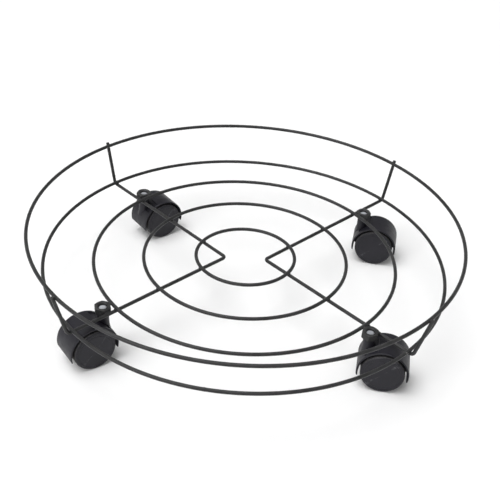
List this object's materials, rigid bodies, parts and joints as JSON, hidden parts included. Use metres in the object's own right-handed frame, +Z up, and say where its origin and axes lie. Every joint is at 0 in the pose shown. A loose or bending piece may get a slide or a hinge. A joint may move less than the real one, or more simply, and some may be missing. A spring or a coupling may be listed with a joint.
{
  "type": "plant pot caddy",
  "caption": "Round wire caddy that carries a plant pot on concentric floor rings inside a raised rim, on hooded twin-wheel swivel casters.",
  "frame": {"origin": "on the floor at the centre of the concentric rings", "axes": "+Z up, +X to the right as the picture shows the caddy, +Y away from the viewer; the two V-shaped wires open along +X and -X"},
  "size_m": [0.4173, 0.4174, 0.0957],
  "materials": {
    "wire": "satin powder coat",
    "zinc": "bright zinc plate",
    "hood_plastic": "satin moulded plastic",
    "wheel_plastic": "fine matt moulded plastic"
  },
  "bodies": {
    "frame": {"rim_ring": "wire", "base_ring_1": "wire", "base_ring_2": "wire", "base_ring_3": "wire", "base_ring_4": "wire", "v_wire_right": "wire", "v_wire_left": "wire", "weld_nut_back_right": "wire", "stem_back_right": "zinc", "grip_ring_back_right": "zinc", "weld_nut_back_left": "wire", "stem_back_left": "zinc", "grip_ring_back_left": "zinc", "weld_nut_front_left": "wire", "stem_front_left": "zinc", "grip_ring_front_left": "zinc", "weld_nut_front_right": "wire", "stem_front_right": "zinc", "grip_ring_front_right": "zinc"},
    "caster_back_right": {"hood_back_right": "hood_plastic", "axle_back_right": "zinc"},
    "wheel_a_back_right_body": {"wheel_a_back_right": "wheel_plastic"},
    "wheel_b_back_right_body": {"wheel_b_back_right": "wheel_plastic"},
    "caster_back_left": {"hood_back_left": "hood_plastic", "axle_back_left": "zinc"},
    "wheel_a_back_left_body": {"wheel_a_back_left": "wheel_plastic"},
    "wheel_b_back_left_body": {"wheel_b_back_left": "wheel_plastic"},
    "caster_front_left": {"hood_front_left": "hood_plastic", "axle_front_left": "zinc"},
    "wheel_a_front_left_body": {"wheel_a_front_left": "wheel_plastic"},
    "wheel_b_front_left_body": {"wheel_b_front_left": "wheel_plastic"},
    "caster_front_right": {"hood_front_right": "hood_plastic", "axle_front_right": "zinc"},
    "wheel_a_front_right_body": {"wheel_a_front_right": "wheel_plastic"},
    "wheel_b_front_right_body": {"wheel_b_front_right": "wheel_plastic"}
  },
  "joints": [
    {"name": "swivel_back_right", "type": "hinge", "parent": "frame", "child": "caster_back_right", "pos_m": [0.12483, 0.0952, 0.04], "axis": [0, 0, 1], "continuous": true},
    {"name": "roll_a_back_right", "type": "hinge", "parent": "caster_back_right", "child": "wheel_a_back_right_body", "pos_m": [0.14058, 0.09242, 0.02], "axis": [0.1736, 0.9848, 0], "continuous": true},
    {"name": "roll_b_back_right", "type": "hinge", "parent": "caster_back_right", "child": "wheel_b_back_right_body", "pos_m": [0.14058, 0.09242, 0.02], "axis": [0.1736, 0.9848, 0], "continuous": true},
    {"name": "swivel_back_left", "type": "hinge", "parent": "frame", "child": "caster_back_left", "pos_m": [-0.11389, 0.10804, 0.04], "axis": [0, 0, 1], "continuous": true},
    {"name": "roll_a_back_left", "type": "hinge", "parent": "caster_back_left", "child": "wheel_a_back_left_body", "pos_m": [-0.10128, 0.11789, 0.02], "axis": [-0.6157, 0.788, 0], "continuous": true},
    {"name": "roll_b_back_left", "type": "hinge", "parent": "caster_back_left", "child": "wheel_b_back_left_body", "pos_m": [-0.10128, 0.11789, 0.02], "axis": [-0.6157, 0.788, 0], "continuous": true},
    {"name": "swivel_front_left", "type": "hinge", "parent": "frame", "child": "caster_front_left", "pos_m": [-0.12483, -0.0952, 0.04], "axis": [0, 0, 1], "continuous": true},
    {"name": "roll_a_front_left", "type": "hinge", "parent": "caster_front_left", "child": "wheel_a_front_left_body", "pos_m": [-0.13777, -0.1046, 0.02], "axis": [0.5878, -0.809, 0], "continuous": true},
    {"name": "roll_b_front_left", "type": "hinge", "parent": "caster_front_left", "child": "wheel_b_front_left_body", "pos_m": [-0.13777, -0.1046, 0.02], "axis": [0.5878, -0.809, 0], "continuous": true},
    {"name": "swivel_front_right", "type": "hinge", "parent": "frame", "child": "caster_front_right", "pos_m": [0.11389, -0.10804, 0.04], "axis": [0, 0, 1], "continuous": true},
    {"name": "roll_a_front_right", "type": "hinge", "parent": "caster_front_right", "child": "wheel_a_front_right_body", "pos_m": [0.1297, -0.11054, 0.02], "axis": [0.1564, 0.9877, 0], "continuous": true},
    {"name": "roll_b_front_right", "type": "hinge", "parent": "caster_front_right", "child": "wheel_b_front_right_body", "pos_m": [0.1297, -0.11054, 0.02], "axis": [0.1564, 0.9877, 0], "continuous": true}
  ]
}
